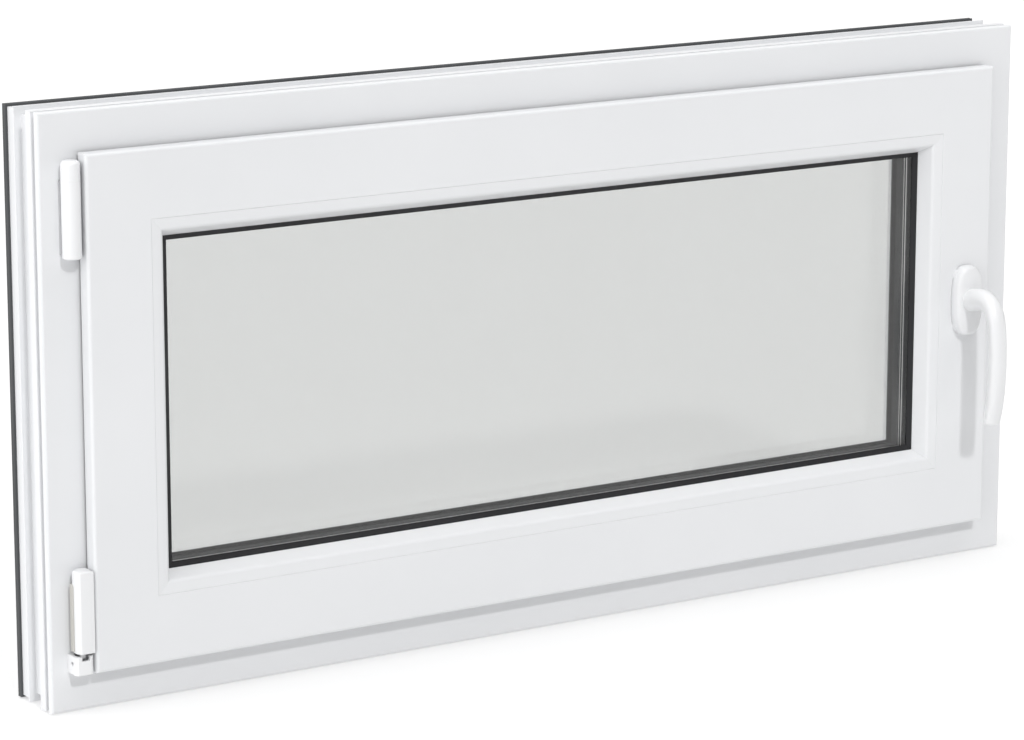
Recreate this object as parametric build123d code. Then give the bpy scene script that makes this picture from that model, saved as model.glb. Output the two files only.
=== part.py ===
from build123d import *
import math
import os

# A white tilt-and-turn window: a fixed frame, a glazed sash that turns about its left side or tilts about
# its lower edge, and the rebate hardware between them.  Millimetres.
# Row frame: X runs along the width, +Y towards the outdoors, +Z up.  The origin is the middle of the
# bearing rib under the sill.
# Sections are drawn in (e, s): e is the distance in from the frame's outer edge, s the distance from
# the frame's room-side face towards the outdoors.  Negative s stands proud into the room.

# ---- driving dimensions ------------------------------------------------------------------------
FRAME_W = 1000.0            # overall width of the frame
FRAME_H = 500.0             # overall height of the frame
FRAME_FACE = 42.0           # width of the frame's room-side face, to the rebate
FRAME_LIP = 64.0            # inner edge of the frame's outdoor lip
LIP_T = 12.0                # thickness of that lip
FRAME_EDGE_R = 4.0          # rounding of the frame's front outer edge
WALL = 2.8                  # outer walls of the PVC sections
RIB_S0, RIB_S1 = 11.7, 20.9  # bearing rib round the outside of the frame
CLIP_GROOVE = 5.0           # depth of the groove in front of the rib
BACK_GROOVE = 7.0           # depth of the groove behind the rib
FIN_S0, FIN_S1 = 42.0, 43.8  # thin fin behind the second groove
SEAL_W = 6.1                # width of the dark perimeter seal
SEAL_T = 2.2                # its thickness

REBATE_GAP = 12.0           # air between frame rebate and sash, where the hardware runs
OVERLAP = 8.0               # sash lip over the frame's face
LIP_GAP = 3.0               # gap behind the sash lip
SASH_PROUD = 17.0           # sash front ahead of the frame front
SEAT_GAP = 5.0              # sash rear to the frame's lip, where the frame gasket seals
GLAZING_LIP_T = 12.0        # thickness of the sash's glazing lip
REAR_STEP = 6.0             # rear step round the sash
SASH_LIP_E = 68.0           # outer edge of that rear step
SASH_EDGE_R = 3.0
GLASS_REBATE = 38.0         # sash body, rebate face to glazing rebate
BEAD_W = 18.0               # width of the glazing beads
GASKET_T = 4.0              # outer glazing gasket

PANE_T = 4.0                # each glass pane
CAVITY = 12.0               # each gas space
GLASS_S = 1.0               # room-side face of the inner pane
EDGE_PLAY = 5.0             # air round the sealed unit, filled by the setting blocks
LIP_SLOPE = 5.5             # the outer glazing lip's sight edge slopes back by this, to shed water
BLOCK_LEN = 80.0            # setting blocks
BLOCK_IN = 55.0             # middle of a setting block, in from the end of the unit
SEALANT_W = 5.5             # edge sealant round the sealed unit
SPACER_H = 6.5              # height of the warm-edge spacer

BARREL_R = 8.0              # outside radius of the hinge barrels
BARREL_GAP = 0.5            # barrels to the frame's face
BARREL_SIDE = 1.5           # barrels to the edge of the sash lip
TILT_RISE = 6.0             # tilt axis over the lower edge of the sash lip
STAY_LEN = 80.0             # length of the top hinge
STAY_DOWN = 39.0            # its upper end, down from the frame's top
BAND_Z1 = 122.0             # top of the lower hinge cover
BLOCK_Z0, BLOCK_Z1 = 34.5, 50.0   # bearing block of the lower hinge
ARM_RISE = 4.4              # stay arm over the sash, clear of its rear edge as it tilts
STAY_L = 305.0              # stay arm, eye to sliding pin
PIN_R = 3.5                 # stay bearing pin
EYE_PLAY = 0.45             # play of the stay arm's eye on its pin

BACKSET = 9.0               # spindle axis, in from the sash's rebate face
ROSETTE_W, ROSETTE_H, ROSETTE_T = 31.0, 66.0, 11.0
LEVER_W = 18.0              # lever width across the hand
SPINDLE = 7.0               # square spindle
NECK_R = 9.5                # round neck of the lever in the rosette
SCREW_PITCH = 43.0          # rosette screws, centre to centre

GROOVE_C = 15.0             # centre of the sash's hardware groove, in s
PLATE_W, PLATE_T = 16.0, 2.5      # faceplates
BAR_W, BAR_T = 10.0, 2.5          # lock bars
GROOVE_DEEP = 9.0           # depth of the whole hardware groove
PINION_R = 5.5              # pitch radius of the pinion
HANDLE_TURN = 180.0         # handle travel, degrees
CAM_R, CAM_HEAD_R = 3.0, 4.5
CAM_CLEAR = 4.5             # cam tip to the frame's rebate
CAM_OFF = 74.0              # lock side cams, above and below the handle
HEAD_CAM_IN = 280.0         # head cam, in from the frame's right edge
SILL_CAM_IN = 300.0         # sill cams, in from the frame's sides
CORNER_LEG = 48.0           # legs of the corner drives
STRIKER_T = 2.4             # base of a striker
RUN = 0.3                   # running gap between sliding pieces
FIT = 0.05                  # radial clearance of pins in bores
STEEL_FIT = 0.2             # clearance round the steel reinforcement
FIX_HOLE_R = 4.0            # wall fixing holes through the jambs
FIX_S = 34.0                # their distance from the frame front
FIX_SPACING = 300.0         # between the two holes of one jamb
# ---- values that follow from those above ---------------------------------------------------------
IGU_T = 3 * PANE_T + 2 * CAVITY           # thickness of the sealed glass unit
GLAZING_LIP_S = GLASS_S + IGU_T + GASKET_T  # room-side face of the sash's glazing lip
SASH_REAR = GLAZING_LIP_S + GLAZING_LIP_T
SASH_BACK = SASH_REAR - REAR_STEP         # rear face of the sash beside the rebate
LIP_S = SASH_BACK + SEAT_GAP              # room-side face of the frame's lip
FRAME_D = LIP_S + LIP_T                   # depth of the frame, room side to outdoors
SEAL_S = FRAME_D - SEAL_W
SASH_E = FRAME_FACE - OVERLAP             # outer edge of the sash lip
BODY_E = FRAME_FACE + REBATE_GAP          # outer face of the sash body
BEAD_E = BODY_E + GLASS_REBATE            # glazing rebate
SIGHT_E = BEAD_E + BEAD_W                 # visible edge of the glass
FRONT = -SASH_PROUD                       # sash front, in s
IGU_E = BEAD_E + EDGE_PLAY                # edge of the sealed unit
AXIS_E = SASH_E - BARREL_R - BARREL_SIDE  # turn axis, in from the frame's left edge
AXIS_S = -BARREL_R - BARREL_GAP           # turn and tilt axes, ahead of the frame front
TILT_Z = SASH_E + TILT_RISE
STAY_Z1 = FRAME_H - STAY_DOWN
STAY_Z0 = STAY_Z1 - STAY_LEN
HANDLE_E = BODY_E + BACKSET               # spindle axis, in from the frame's right edge
HANDLE_Z = FRAME_H / 2
CAM_PROUD = REBATE_GAP - CAM_CLEAR        # cam tip beyond the sash's rebate face
CORNER_AT = BODY_E + CORNER_LEG
TRAVEL = PINION_R * math.radians(HANDLE_TURN)
ORIGIN_S = (RIB_S0 + RIB_S1) / 2
OVERLAP_X = FRAME_FACE - OVERLAP - AXIS_E  # turn axis to the edge of the sash lip
AX = -FRAME_W / 2 + AXIS_E                # turn axis, x
AY = AXIS_S - ORIGIN_S                    # turn and tilt axes, y
HX = FRAME_W / 2 - HANDLE_E               # spindle axis, x
PLATE_E0, PLATE_E1 = BODY_E + 0.5, BODY_E + 0.5 + PLATE_T
BAR_E0 = PLATE_E1 + RUN
BAR_E1 = BAR_E0 + BAR_T
SIDES = {"sill": (FRAME_W, 0), "hinge": (FRAME_H, 90), "head": (FRAME_W, 180), "lock": (FRAME_H, -90)}
made = {}


# ---- helpers -----------------------------------------------------------------------------------
def y_of(s):
    return s - ORIGIN_S


def box(x0, x1, s0, s1, z0, z1):
    """A box from x0 to x1, s0 to s1 and z0 to z1."""
    size = (abs(x1 - x0), abs(s1 - s0), abs(z1 - z0))
    return Pos((x0 + x1) / 2, y_of((s0 + s1) / 2), (z0 + z1) / 2) * Box(*size)


def rod(axis, at, r, a, b):
    """A cylinder of radius r along an axis from a to b; at gives its other two coordinates (y as s)."""
    mid = (a + b) / 2
    body = Cylinder(r, abs(b - a))
    if axis == "x":
        return Pos(mid, y_of(at[0]), at[1]) * Rot(0, 90, 0) * body
    if axis == "y":
        return Pos(at[0], y_of(mid), at[1]) * Rot(90, 0, 0) * body
    return Pos(at[0], y_of(at[1]), mid) * body


def section(points, rounds=()):
    """A face in the member's own plane from (e, s) points; rounds lists (corner number, radius)."""
    face = make_face(Polyline(*[(0, y_of(s), e) for e, s in points], close=True))
    for number, radius in rounds:
        e, s = points[number]
        corner = face.vertices().sort_by_distance(Vector(0, y_of(s), e))[0]
        face = fillet(corner, radius)
    return face


def place(side, shape):
    """Moves a member drawn along the sill to its side of the frame."""
    turn = SIDES[side][1]
    spot = {"sill": (0, 0), "hinge": (-FRAME_W / 2, FRAME_H / 2), "head": (0, FRAME_H),
            "lock": (FRAME_W / 2, FRAME_H / 2)}[side]
    return Pos(spot[0], 0, spot[1]) * Rot(0, turn, 0) * shape


def mitred(side, face, deep=0.0):
    """Runs a section along one side and cuts both ends at 45 degrees."""
    length = SIDES[side][0]
    reach = 140.0
    bar = extrude(face, amount=length / 2, dir=(1, 0, 0), both=True)
    ends = Polyline((-length / 2 + deep, 0), (length / 2 - deep, 0), (length / 2 - deep - reach, reach),
                    (-length / 2 + deep + reach, reach), close=True)
    wedge = extrude(Plane.XZ * make_face(ends), amount=200, both=True)
    return place(side, bar & wedge)


def square_cut(side, face, short):
    """Runs a section along one side, cut square and shortened at both ends."""
    length = SIDES[side][0] - 2 * short
    return place(side, extrude(face, amount=length / 2, dir=(1, 0, 0), both=True))


def rect(e0, e1, s0, s1):
    return section([(e0, s0), (e1, s0), (e1, s1), (e0, s1)])


def ring(e0, e1, s0, s1):
    """A closed rectangular ring between two margins."""
    outer = box(-FRAME_W / 2 + e0, FRAME_W / 2 - e0, s0, s1, e0, FRAME_H - e0)
    inner = box(-FRAME_W / 2 + e1, FRAME_W / 2 - e1, s0 - 1, s1 + 1, e1, FRAME_H - e1)
    return outer - inner


def at_side(side, along, e0, e1, s0, s1, width):
    """A box on one side: centred along the side, e0 to e1 in, s0 to s1 deep."""
    low, high = along - width / 2, along + width / 2
    if side == "sill":
        return box(low, high, s0, s1, e0, e1)
    if side == "head":
        return box(low, high, s0, s1, FRAME_H - e1, FRAME_H - e0)
    if side == "hinge":
        return box(-FRAME_W / 2 + e0, -FRAME_W / 2 + e1, s0, s1, low, high)
    return box(FRAME_W / 2 - e1, FRAME_W / 2 - e0, s0, s1, low, high)


def rod_in(side, along, s, r, e0, e1):
    """A cylinder square to a side, from e0 to e1 in."""
    if side == "sill":
        return rod("z", (along, s), r, e0, e1)
    if side == "head":
        return rod("z", (along, s), r, FRAME_H - e1, FRAME_H - e0)
    if side == "hinge":
        return rod("x", (s, along), r, -FRAME_W / 2 + e0, -FRAME_W / 2 + e1)
    return rod("x", (s, along), r, FRAME_W / 2 - e1, FRAME_W / 2 - e0)


def keep(name, *shapes):
    """Stores one node: every solid of the shapes, each on its own."""
    solids = []
    for shape in shapes:
        solids += list(shape.solids())
    made[name] = solids


# ---- where the hardware sits ---------------------------------------------------------------------
JAMB_CAMS = (HANDLE_Z - CAM_OFF, HANDLE_Z + CAM_OFF)
HEAD_CAM = FRAME_W / 2 - HEAD_CAM_IN
SILL_CAMS = (-FRAME_W / 2 + SILL_CAM_IN, FRAME_W / 2 - SILL_CAM_IN)
FIX_Z = (FRAME_H / 2 - FIX_SPACING / 2, FRAME_H / 2 + FIX_SPACING / 2)
STEEL = {"frame": (10.0, 37.5, 14.0, FIN_S0 - 0.5), "sash": (BODY_E + 12, BEAD_E - 3, 5.0, 37.0)}
CASE_Z0, CASE_Z1 = HANDLE_Z - 56, HANDLE_Z + 56
CASE_E0, CASE_E1 = PLATE_E1 + 0.4, HANDLE_E + PINION_R + 7.2
CASE_S0, CASE_S1 = -1.7, GROOVE_C - PLATE_W / 2 + 0.2
ROSETTE_Z = (HANDLE_Z - SCREW_PITCH / 2, HANDLE_Z + SCREW_PITCH / 2)


# ---- frame ---------------------------------------------------------------------------------------
def frame_section():
    outline = [(0, 0), (FRAME_FACE, 0), (FRAME_FACE, LIP_S - 2), (FRAME_FACE + 2, LIP_S),
               (FRAME_LIP, LIP_S), (FRAME_LIP, FRAME_D), (SEAL_T, FRAME_D), (SEAL_T, FIN_S1), (0, FIN_S1),
               (0, FIN_S0), (BACK_GROOVE, FIN_S0), (BACK_GROOVE, RIB_S1), (0, RIB_S1), (0, RIB_S0),
               (CLIP_GROOVE, RIB_S0), (CLIP_GROOVE, 5.9), (0, 5.9)]
    face = section(outline, [(0, FRAME_EDGE_R), (5, 1.5), (4, 1.5)])
    e0, e1, s0, s1 = STEEL["frame"]
    face -= rect(e0, e1, s0, s1)
    face -= rect(CLIP_GROOVE + WALL, e1, WALL, s0 - 1.6)
    face -= rect(e0, FRAME_FACE - WALL, s1 + 1.8, LIP_S - 2.6)
    face -= rect(SEAL_T + WALL, FRAME_LIP - WALL, LIP_S + 2.4, FRAME_D - 2.4)
    return face


def make_frame():
    face = frame_section()
    members = {side: mitred(side, face) for side in SIDES}
    e0, e1, s0, s1 = STEEL["frame"]
    fit = STEEL_FIT
    tube = rect(e0 + fit, e1 - fit, s0 + fit, s1 - fit) - rect(e0 + fit + 1.5, e1 - fit - 1.5, s0 + fit + 1.5,
                                                               s1 - fit - 1.5)
    steels = {side: square_cut(side, tube, e1 + 6) for side in SIDES}
    for side in ("hinge", "lock"):
        for z in FIX_Z:
            hole = rod_in(side, z, FIX_S, FIX_HOLE_R, -5, FRAME_FACE + 5)
            members[side] -= hole
            steels[side] -= hole
    peg = rod("y", (AX, TILT_Z), 2.5 + FIT, -1, WALL + 1.2)
    members["hinge"] -= peg
    for z in STAY_SCREW_Z:
        members["hinge"] -= rod("y", (AX, z), 1.9, -1, WALL + 6)
    for x in DRAIN_X:
        members["sill"] -= box(x - 20, x + 20, FRAME_D - 2, FRAME_D + 1, 14, 26)
        members["sill"] -= box(x - 14, x + 14, LIP_S + 3, FRAME_D + 1, 17, 22)
        members["sill"] -= box(x - 50, x - 22, LIP_S - 8, LIP_S - 4, FRAME_FACE - 5, FRAME_FACE + 1)
    for side, along in STRIKES:
        for shift in (-10, 10):
            members[side] -= rod_in(side, along + shift, GROOVE_C - 3.5, 1.4, FRAME_FACE - 7, FRAME_FACE + 1)
    names = {"sill": "frame_sill", "head": "frame_head", "hinge": "frame_hinge_jamb", "lock": "frame_lock_jamb"}
    for side, name in names.items():
        keep(name, members[side])
    keep("frame_steel", *steels.values())
    keep("perimeter_seal", *[mitred(side, rect(0, SEAL_T, SEAL_S, FRAME_D)) for side in SIDES])
    lip = section([(57.5, LIP_S), (62.5, LIP_S), (62.0, LIP_S - 2.0), (60.8, SASH_BACK + RUN),
                   (59.2, SASH_BACK + RUN), (58.0, LIP_S - 2.0)])
    keep("frame_gasket", *[mitred(side, lip) for side in SIDES])
    caps = []
    for x in DRAIN_X:
        cap = box(x - 20, x + 20, FRAME_D - 2, FRAME_D, 14, 26)
        cap -= box(x - 15, x + 15, FRAME_D - 2.5, FRAME_D - 0.8, 13, 23)
        caps.append(cap)
    keep("drain_caps", *caps)


STAY_SCREW_Z = (STAY_Z0 + 10, STAY_Z0 + 43)
DRAIN_X = (-FRAME_W / 2 + 200, FRAME_W / 2 - 200)
STRIKES = [("lock", JAMB_CAMS[0]), ("lock", JAMB_CAMS[1]), ("head", HEAD_CAM), ("sill", SILL_CAMS[0]),
           ("sill", SILL_CAMS[1])]


# ---- sash ----------------------------------------------------------------------------------------
def sash_section(groove):
    outline = [(SASH_E, FRONT), (BEAD_E, FRONT), (BEAD_E, -8), (BEAD_E - 3, -8), (BEAD_E - 3, -5.5),
               (BEAD_E, -5.5), (BEAD_E, GLAZING_LIP_S), (SIGHT_E, GLAZING_LIP_S), (SIGHT_E - LIP_SLOPE, SASH_REAR),
               (SASH_LIP_E, SASH_REAR), (SASH_LIP_E, SASH_BACK), (BODY_E, SASH_BACK), (BODY_E, -LIP_GAP),
               (SASH_E, -LIP_GAP)]
    face = section(outline, [(0, SASH_EDGE_R), (8, 1.5), (9, 1.5)])
    e0, e1, s0, s1 = STEEL["sash"]
    face -= rect(e0, e1, s0, s1)
    face -= rect(SASH_E + WALL, BEAD_E - 6, FRONT + WALL, -LIP_GAP - WALL)
    face -= rect(BODY_E + WALL, e1, -LIP_GAP, s0 - 1.8)
    face -= rect(SASH_LIP_E + WALL, SIGHT_E - WALL - LIP_SLOPE, SASH_BACK - 3, SASH_REAR - WALL)
    face -= rect(BODY_E + WALL, e0 - 1.8, GROOVE_C + 10.5, SASH_BACK - WALL)
    half = PLATE_W / 2 + 0.1
    face -= rect(BODY_E - 1, BODY_E + 3, GROOVE_C - half, GROOVE_C + half)
    if groove:
        face -= rect(BODY_E - 1, BODY_E + GROOVE_DEEP, GROOVE_C - 6, GROOVE_C + 6)
    return face


def bead_section():
    back = -1.6
    outline = [(BEAD_E, FRONT + 0.3), (SIGHT_E - 7.6, FRONT + 1.3), (SIGHT_E - 0.3, back), (BEAD_E, back),
               (BEAD_E, -5.8), (BEAD_E - 2.7, -5.8), (BEAD_E - 2.7, -7.8), (BEAD_E, -7.8)]
    face = section(outline, [(1, 4.0)])
    return face - section([(BEAD_E + 2, FRONT + 2.5), (SIGHT_E - 9, FRONT + 3.5), (SIGHT_E - 5, -3.6),
                           (BEAD_E + 2, -3.6)])


def make_sash():
    face = sash_section(True)
    members = {side: mitred(side, face) for side in SIDES}
    e0, e1, s0, s1 = STEEL["sash"]
    fit = STEEL_FIT
    tube = rect(e0 + fit, e1 - fit, s0 + fit, s1 - fit) - rect(e0 + fit + 1.5, e1 - fit - 1.5, s0 + fit + 1.5,
                                                               s1 - fit - 1.5)
    steels = {side: square_cut(side, tube, e1 + 6) for side in SIDES}
    right = FRAME_W / 2
    cavity = box(right - CASE_E1 - 0.4, right - BODY_E - 1.5, CASE_S0 - 0.3, GROOVE_C + 6, CASE_Z0 - 1, CASE_Z1 + 1)
    members["lock"] -= cavity
    steels["lock"] -= cavity
    members["lock"] -= rod("y", (HX, HANDLE_Z), 8.0, FRONT - 1, 0)
    for z in ROSETTE_Z:
        members["lock"] -= rod("y", (HX, z), 2.6, FRONT - 1, 0)
    for s, z in BAND_SCREWS:
        members["hinge"] -= rod_in("hinge", z, s, 1.9, BODY_E - 1, BODY_E + 12)
    for side, along in FACE_SCREWS:
        members[side] -= rod_in(side, along, GROOVE_C, 1.7, BODY_E, BODY_E + 16)
    names = {"sill": "sash_sill", "head": "sash_head", "hinge": "sash_hinge_stile", "lock": "sash_lock_stile"}
    for side, name in names.items():
        keep(name, members[side])
        keep("bead_" + side, mitred(side, bead_section()))
    keep("sash_steel_rails", steels["sill"], steels["head"])
    keep("sash_steel_stiles", steels["hinge"], steels["lock"])
    lip = section([(SASH_E + 4.6, -LIP_GAP), (SASH_E + 7.4, -LIP_GAP), (SASH_E + 7.2, -RUN),
                   (SASH_E + 5.2, -RUN)])
    room = box(AX - 6, AX + 20, -LIP_GAP, 0, STAY_Z1 - 17, STAY_Z1 - 5)
    room += box(AX - 6, AX + 20, -LIP_GAP, 0, BLOCK_Z1, BAND_Z1)
    keep("sash_gasket", *[mitred(side, lip) - room for side in SIDES])


# ---- glazing -------------------------------------------------------------------------------------
def make_glazing():
    half, low, high = FRAME_W / 2 - IGU_E, IGU_E, FRAME_H - IGU_E
    step = PANE_T + CAVITY
    for number, name in enumerate(("glass_inner", "glass_middle", "glass_outer")):
        s = GLASS_S + number * step
        keep(name, box(-half, half, s, s + PANE_T, low, high))
    spacers, sealants = [], []
    for number in range(2):
        s = GLASS_S + PANE_T + number * step
        sealants.append(ring(IGU_E, IGU_E + SEALANT_W, s, s + CAVITY))
        spacers.append(ring(IGU_E + SEALANT_W, IGU_E + SEALANT_W + SPACER_H, s, s + CAVITY))
    keep("spacers", *spacers)
    keep("edge_sealant", *sealants)
    back = GLASS_S + IGU_T
    inner = section([(SIGHT_E - 6, -1.6), (SIGHT_E - 0.3, -1.6), (SIGHT_E + 1.2, -0.7), (SIGHT_E + 4, 0.3),
                     (SIGHT_E + 4, GLASS_S), (SIGHT_E - 6, GLASS_S)])
    outer = section([(SIGHT_E - 8, back), (SIGHT_E + 2, back), (SIGHT_E + 2, back + 1), (SIGHT_E, GLAZING_LIP_S),
                     (SIGHT_E - 8, GLAZING_LIP_S)])
    keep("glazing_gasket_inner", *[mitred(side, inner) for side in SIDES])
    keep("glazing_gasket_outer", *[mitred(side, outer) for side in SIDES])
    blocks = []
    for side, (length, _) in SIDES.items():
        middle = 0 if side in ("sill", "head") else FRAME_H / 2
        reach = length / 2 - IGU_E - BLOCK_IN
        for along in (middle - reach, middle + reach):
            blocks.append(at_side(side, along, BEAD_E, IGU_E, GLASS_S, back, BLOCK_LEN))
    keep("setting_blocks", *blocks)


# ---- lower hinge ---------------------------------------------------------------------------------
BAND_SCREWS = [(s, z) for s in (4.0, 27.0) for z in (72.0, 100.0)]


def barrel_section(radius, front, grow):
    """Plan of a hinge cover, about the turn axis: flat front, chamfered on the left, round behind."""
    left = -(radius + 0.2) + grow
    right = radius + 0.2 - grow
    face = make_face(Polyline((right, -front + grow), (-5.7 + grow, -front + grow), (left, -6.3 + grow * 0.4),
                              (left, 0), (right, 0), close=True))
    return face + Circle(radius + 0.2 - grow)


def make_lower_hinge():
    half = BARREL_R + 0.9
    block = box(AX - half, AX + half, AXIS_S - BARREL_R, 0, BLOCK_Z0, BLOCK_Z1)
    corners = block.edges().filter_by(Axis.Z).sort_by(Axis.Y)[:2].sort_by(Axis.X)
    block = chamfer(corners[:1], 2.2)
    turning = rod("z", (AX, AXIS_S), OVERLAP_X - RUN, BLOCK_Z0, BLOCK_Z1)
    block &= turning + box(AX - half, AX, AXIS_S - BARREL_R, 0, BLOCK_Z0, BLOCK_Z1) \
        + box(AX - half, AX + half, AXIS_S, 0, BLOCK_Z0, BLOCK_Z1)
    well = 6.0
    block -= rod("z", (AX, AXIS_S), well, BLOCK_Z0 + 1.5, BLOCK_Z1 + 1)
    mouth = box(AX - 3.6, AX + 3.6, AXIS_S - BARREL_R - 1, AXIS_S, TILT_Z + 6.5, BLOCK_Z1 + 1)
    block -= mouth
    block += rod("y", (AX, TILT_Z), 2.5, -0.2, WALL)
    block -= rod("x", (AXIS_S, TILT_Z + 3.5), 2.0, AX - half - 1, AX - well + 0.5)
    keep("corner_bearing", block)
    screw = rod("x", (AXIS_S, TILT_Z + 3.5), 1.9, AX - half + 0.5, AX - well - 0.2)
    keep("corner_adjuster", screw - rod("x", (AXIS_S, TILT_Z + 3.5), 0.9, AX - half, AX - half + 1.8))
    foot_r, slot = 2.5, 6.0
    pivot = rod("z", (AX, AXIS_S), well - FIT, BLOCK_Z0 + 1.5, TILT_Z + 6)
    pivot -= box(AX - slot / 2, AX + slot / 2, AXIS_S - 7, AXIS_S + 7, TILT_Z - foot_r - RUN, TILT_Z + 7)
    pivot -= rod("x", (AXIS_S, TILT_Z), 1.5, AX - 7, AX + 7)
    keep("corner_pivot", pivot)
    keep("corner_cross_pin", rod("x", (AXIS_S, TILT_Z), 1.5, AX - well + 0.6, AX + well - 0.6))
    low, high = BLOCK_Z1 + 2.5, BAND_Z1
    inner_r = BARREL_R + 0.2 - 1.4
    foot = box(AX - slot / 2 + RUN, AX + slot / 2 - RUN, AXIS_S - foot_r, AXIS_S + foot_r, TILT_Z, low + 1)
    foot += rod("x", (AXIS_S, TILT_Z), foot_r, AX - slot / 2 + RUN, AX + slot / 2 - RUN)
    foot -= rod("x", (AXIS_S, TILT_Z), 1.5 + FIT, AX - 7, AX + 7)
    band = foot + rod("z", (AX, AXIS_S), inner_r - RUN, low, high - 2.2)
    edge = -FRAME_W / 2 + BODY_E
    band += box(AX, edge, -2.7, -0.5, low + 8, high - 12)
    band += box(edge - 2.5, edge, -2.7, 31, low + 8, high - 12)
    for s, z in BAND_SCREWS:
        band -= rod_in("hinge", z, s, 2.0, BODY_E - 4, BODY_E + 1)
    keep("corner_band", band)
    screws = []
    for s, z in BAND_SCREWS:
        screws.append(rod_in("hinge", z, s, 1.85, BODY_E - 2.6, BODY_E + 11)
                      + rod_in("hinge", z, s, 3.4, BODY_E - 4.3, BODY_E - 2.5))
    keep("corner_band_screws", *screws)
    front = FRONT * -1 + AXIS_S + 0.5
    shell = extrude(barrel_section(BARREL_R, front, 0), amount=high - low)
    top = shell.faces().sort_by(Axis.Z)[-1]
    shell = chamfer(top.edges(), 1.0)
    hollow = extrude(barrel_section(BARREL_R, front, 1.4), amount=high - low - 1.6)
    shell -= Pos(0, 0, -0.01) * hollow
    shell -= Pos(8, 8.25, (high - low) / 2 - 1.6) * Box(17, 6.3, high - low)
    keep("corner_band_cover", Pos(AX, y_of(AXIS_S), low) * shell)


# ---- upper hinge ---------------------------------------------------------------------------------
def make_upper_hinge():
    eye0, eye1 = STAY_Z1 - 16.5, STAY_Z1 - 6.5
    knuckle_r = BARREL_R - 1.6
    plate = box(AX - 7, AX + 7, -2.4, 0, STAY_Z0 + 3, eye0 - 0.6)
    bearing = plate
    for z0, z1 in ((STAY_Z0 + 17, STAY_Z0 + 36), (STAY_Z0 + 50, eye0 - 0.5)):
        bearing += rod("z", (AX, AXIS_S), knuckle_r, z0, z1)
        bearing += box(AX - 4, AX + 4, AXIS_S, 0, z0, z1)
    bearing -= rod("z", (AX, AXIS_S), PIN_R, STAY_Z0 + 17, eye0)
    for z in STAY_SCREW_Z:
        bearing -= rod("y", (AX, z), 2.1, -4, 1)
    keep("stay_bearing", bearing)
    keep("stay_bearing_screws", *[rod("y", (AX, z), 1.85, -2.4, WALL + 5) + rod("y", (AX, z), 3.4, -4.2, -2.4)
                                  for z in STAY_SCREW_Z])
    keep("stay_pin", rod("z", (AX, AXIS_S), PIN_R - EYE_PLAY, eye0 - 0.4, eye1 + 3.5)
         + rod("z", (AX, AXIS_S), PIN_R, STAY_Z0 + 16, eye0 - 0.4))
    cap = rod("z", (AX, AXIS_S), BARREL_R, eye1 + 0.5, STAY_Z1)
    cap = fillet(cap.faces().sort_by(Axis.Z)[-1].edges(), 2.0)
    keep("stay_cap", cap - rod("z", (AX, AXIS_S), PIN_R - EYE_PLAY, eye1, eye1 + 3.5))
    cover = rod("z", (AX, AXIS_S), BARREL_R, STAY_Z0, eye0 - 0.5)
    cover = fillet(cover.faces().sort_by(Axis.Z)[0].edges(), 2.0)
    cover -= rod("z", (AX, AXIS_S), knuckle_r + 0.1, STAY_Z0 + 2.2, eye0)
    cover -= box(AX - 7.1, AX + 7.1, AXIS_S + 3.5, 1, STAY_Z0 + 2.8, eye0 + 1)
    keep("stay_bearing_cover", cover)
    # The stay arm: eye, a tab behind the sash lip, and a flat arm in the gap over the sash.
    left = -FRAME_W / 2
    arm_z0 = FRAME_H - BODY_E + ARM_RISE
    arm_z1 = arm_z0 + 2.5
    tip = AX + STAY_L
    arm = rod("z", (AX, AXIS_S), BARREL_R, eye0, eye1)
    arm += box(AX, left + FRAME_FACE + 5, -2.7, -0.5, eye0, eye1)
    arm += box(left + FRAME_FACE + 2.2, left + BODY_E + 8, -2.7, GROOVE_C + 6, arm_z0, arm_z1)
    arm += box(left + FRAME_FACE + 2.2, tip + 8, GROOVE_C - 6, GROOVE_C + 6, arm_z0, arm_z1)
    arm -= rod("z", (AX, AXIS_S), PIN_R, eye0 - 1, eye1 + 1)
    arm += rod("z", (tip, GROOVE_C), 2.2, FRAME_H - BODY_E - GROOVE_DEEP + 1.8, arm_z1)
    keep("stay_arm", arm)


# ---- locking gear --------------------------------------------------------------------------------
STAY_SLOT = (-FRAME_W / 2 + AXIS_E + STAY_L - 24, -FRAME_W / 2 + AXIS_E + STAY_L + 7)
FACE_SCREWS = [("head", -FRAME_W / 2 + 140), ("head", AX + STAY_L + 90), ("sill", -FRAME_W / 2 + 170),
               ("sill", 30.0), ("lock", CORNER_AT + 6), ("lock", FRAME_H - CORNER_AT - 6)]
BARS = {"lock": (JAMB_CAMS[0] - 6, JAMB_CAMS[1] + 6), "head": (HEAD_CAM - 80, HEAD_CAM + 80),
        "sill": (SILL_CAMS[0] - 40, SILL_CAMS[1] + 60)}
MOVES = {"lock": 1, "head": -1, "sill": 1}


def faceplate(side, low, high, holes, slots):
    middle, width = (low + high) / 2, high - low
    half = PLATE_W / 2
    plate = at_side(side, middle, PLATE_E0, PLATE_E1, GROOVE_C - half, GROOVE_C + half, width)
    for along in holes:
        plate -= rod_in(side, along, GROOVE_C, 2.1, PLATE_E0 - 1, PLATE_E1 + 1)
    for a, b, wide in slots:
        plate -= at_side(side, (a + b) / 2, PLATE_E0 - 1, PLATE_E1 + 1, GROOVE_C - wide / 2, GROOVE_C + wide / 2,
                         b - a)
    return plate


def cam_slot(side, along):
    """The faceplate slot a cam needs over its whole travel."""
    a = along - CAM_R - 1
    b = along + CAM_R + 1
    if MOVES[side] > 0:
        return (a, b + TRAVEL, 2 * CAM_R + 1.0)
    return (a - TRAVEL, b, 2 * CAM_R + 1.0)


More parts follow.
